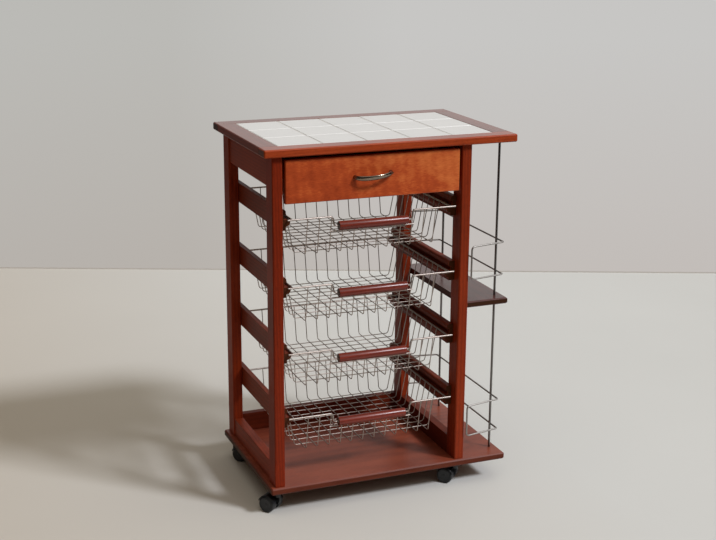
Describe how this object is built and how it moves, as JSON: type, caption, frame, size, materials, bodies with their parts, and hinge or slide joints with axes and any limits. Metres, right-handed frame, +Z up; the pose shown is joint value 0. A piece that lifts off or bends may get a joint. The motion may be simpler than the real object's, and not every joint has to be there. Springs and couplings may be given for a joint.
{
  "type": "kitchen trolley",
  "caption": "Wooden kitchen trolley with a tiled worktop, a drawer, pull-out wire baskets on grooved runners, a side bay with shelf and wire galleries, and swivel castors.",
  "frame": {"origin": "on the floor, under the middle of the worktop", "axes": "+X to the right, towards the open side bay; -Y to the front, the side of the drawer and the grips; +Z up"},
  "size_m": [0.6089, 0.4135, 0.845],
  "materials": {
    "top_frame_wood": "satin lacquer over stained pine",
    "panel_board": "raw plywood",
    "grout": "cement grout",
    "tile_glaze": "glossy white glaze",
    "post_wood": "satin lacquer over stained pine",
    "rail_wood": "satin lacquer over stained pine",
    "runner_wood": "satin lacquer over stained pine",
    "base_wood": "satin lacquer over stained pine",
    "shelf_wood": "satin lacquer over stained pine",
    "bright_wire": "bright zinc plate",
    "rod_steel": "bright zinc plate",
    "front_veneer": "satin lacquer over mottled veneer",
    "box_board": "plain birch ply",
    "pull_nickel": "satin nickel",
    "screw_steel": "zinc plate",
    "slide_steel": "cream powder coat",
    "grip_wood": "glossy lacquer over turned hardwood",
    "socket_steel": "zinc plate",
    "castor_nylon": "moulded black nylon",
    "wheel_nylon": "moulded black nylon"
  },
  "bodies": {
    "carcase": {"top_front_rail": "top_frame_wood", "top_back_rail": "top_frame_wood", "top_left_stile": "top_frame_wood", "top_right_stile": "top_frame_wood", "top_panel": "panel_board", "grout_bed": "grout", "tiles": "tile_glaze", "front_left_post": "post_wood", "front_right_post": "post_wood", "back_left_post": "post_wood", "back_right_post": "post_wood", "left_apron": "rail_wood", "right_apron": "rail_wood", "back_apron": "rail_wood", "left_bottom_rail": "rail_wood", "right_bottom_rail": "rail_wood", "left_runner_1": "runner_wood", "left_runner_2": "runner_wood", "left_runner_3": "runner_wood", "left_runner_4": "runner_wood", "right_runner_1": "runner_wood", "right_runner_2": "runner_wood", "right_runner_3": "runner_wood", "right_runner_4": "runner_wood", "base_board": "base_wood", "side_shelf": "shelf_wood", "shelf_gallery": "bright_wire", "base_gallery": "bright_wire", "front_rod": "rod_steel", "back_rod": "rod_steel", "left_cabinet_slide": "slide_steel", "right_cabinet_slide": "slide_steel", "castor_sockets": "socket_steel"},
    "drawer": {"drawer_front": "front_veneer", "drawer_left_side": "box_board", "drawer_right_side": "box_board", "drawer_back": "box_board", "drawer_bottom": "box_board", "drawer_pull": "pull_nickel", "pull_screws": "screw_steel", "left_drawer_slide": "slide_steel", "right_drawer_slide": "slide_steel"},
    "basket_1_body": {"basket_1": "bright_wire", "basket_1_grip": "grip_wood"},
    "basket_2_body": {"basket_2": "bright_wire", "basket_2_grip": "grip_wood"},
    "basket_3_body": {"basket_3": "bright_wire", "basket_3_grip": "grip_wood"},
    "basket_4_body": {"basket_4": "bright_wire", "basket_4_grip": "grip_wood"},
    "front_left_castor": {"front_left_castor_housing": "castor_nylon"},
    "front_left_wheels": {"front_left_castor_wheels": "wheel_nylon"},
    "front_right_castor": {"front_right_castor_housing": "castor_nylon"},
    "front_right_wheels": {"front_right_castor_wheels": "wheel_nylon"},
    "back_left_castor": {"back_left_castor_housing": "castor_nylon"},
    "back_left_wheels": {"back_left_castor_wheels": "wheel_nylon"},
    "back_right_castor": {"back_right_castor_housing": "castor_nylon"},
    "back_right_wheels": {"back_right_castor_wheels": "wheel_nylon"}
  },
  "joints": [
    {"name": "drawer_slide", "type": "slide", "parent": "carcase", "child": "drawer", "axis": [0, -1, 0], "range_m": [0, 0.23]},
    {"name": "basket_1_slide", "type": "slide", "parent": "carcase", "child": "basket_1_body", "axis": [0, -1, 0], "range_m": [-0.015, 0.24]},
    {"name": "basket_2_slide", "type": "slide", "parent": "carcase", "child": "basket_2_body", "axis": [0, -1, 0], "range_m": [-0.015, 0.24]},
    {"name": "basket_3_slide", "type": "slide", "parent": "carcase", "child": "basket_3_body", "axis": [0, -1, 0], "range_m": [-0.015, 0.24]},
    {"name": "basket_4_slide", "type": "slide", "parent": "carcase", "child": "basket_4_body", "axis": [0, -1, 0], "range_m": [-0.015, 0.24]},
    {"name": "front_left_castor_swivel", "type": "hinge", "parent": "carcase", "child": "front_left_castor", "pos_m": [-0.2675, -0.161, 0.052], "axis": [0, 0, 1], "continuous": true},
    {"name": "front_left_wheels_spin", "type": "hinge", "parent": "front_left_castor", "child": "front_left_wheels", "pos_m": [-0.27858, -0.14682, 0.019], "axis": [-0.788, -0.6157, 0], "continuous": true},
    {"name": "front_right_castor_swivel", "type": "hinge", "parent": "carcase", "child": "front_right_castor", "pos_m": [0.1805, -0.161, 0.052], "axis": [0, 0, 1], "continuous": true},
    {"name": "front_right_wheels_spin", "type": "hinge", "parent": "front_right_castor", "child": "front_right_wheels", "pos_m": [0.16777, -0.14827, 0.019], "axis": [-0.7071, -0.7071, 0], "continuous": true},
    {"name": "back_left_castor_swivel", "type": "hinge", "parent": "carcase", "child": "back_left_castor", "pos_m": [-0.2675, 0.161, 0.052], "axis": [0, 0, 1], "continuous": true},
    {"name": "back_left_wheels_spin", "type": "hinge", "parent": "back_left_castor", "child": "back_left_wheels", "pos_m": [-0.25477, 0.14827, 0.019], "axis": [0.7071, 0.7071, 0], "continuous": true},
    {"name": "back_right_castor_swivel", "type": "hinge", "parent": "carcase", "child": "back_right_castor", "pos_m": [0.1805, 0.161, 0.052], "axis": [0, 0, 1], "continuous": true},
    {"name": "back_right_wheels_spin", "type": "hinge", "parent": "back_right_castor", "child": "back_right_wheels", "pos_m": [0.1715, 0.17659, 0.019], "axis": [-0.866, -0.5, 0], "continuous": true}
  ]
}
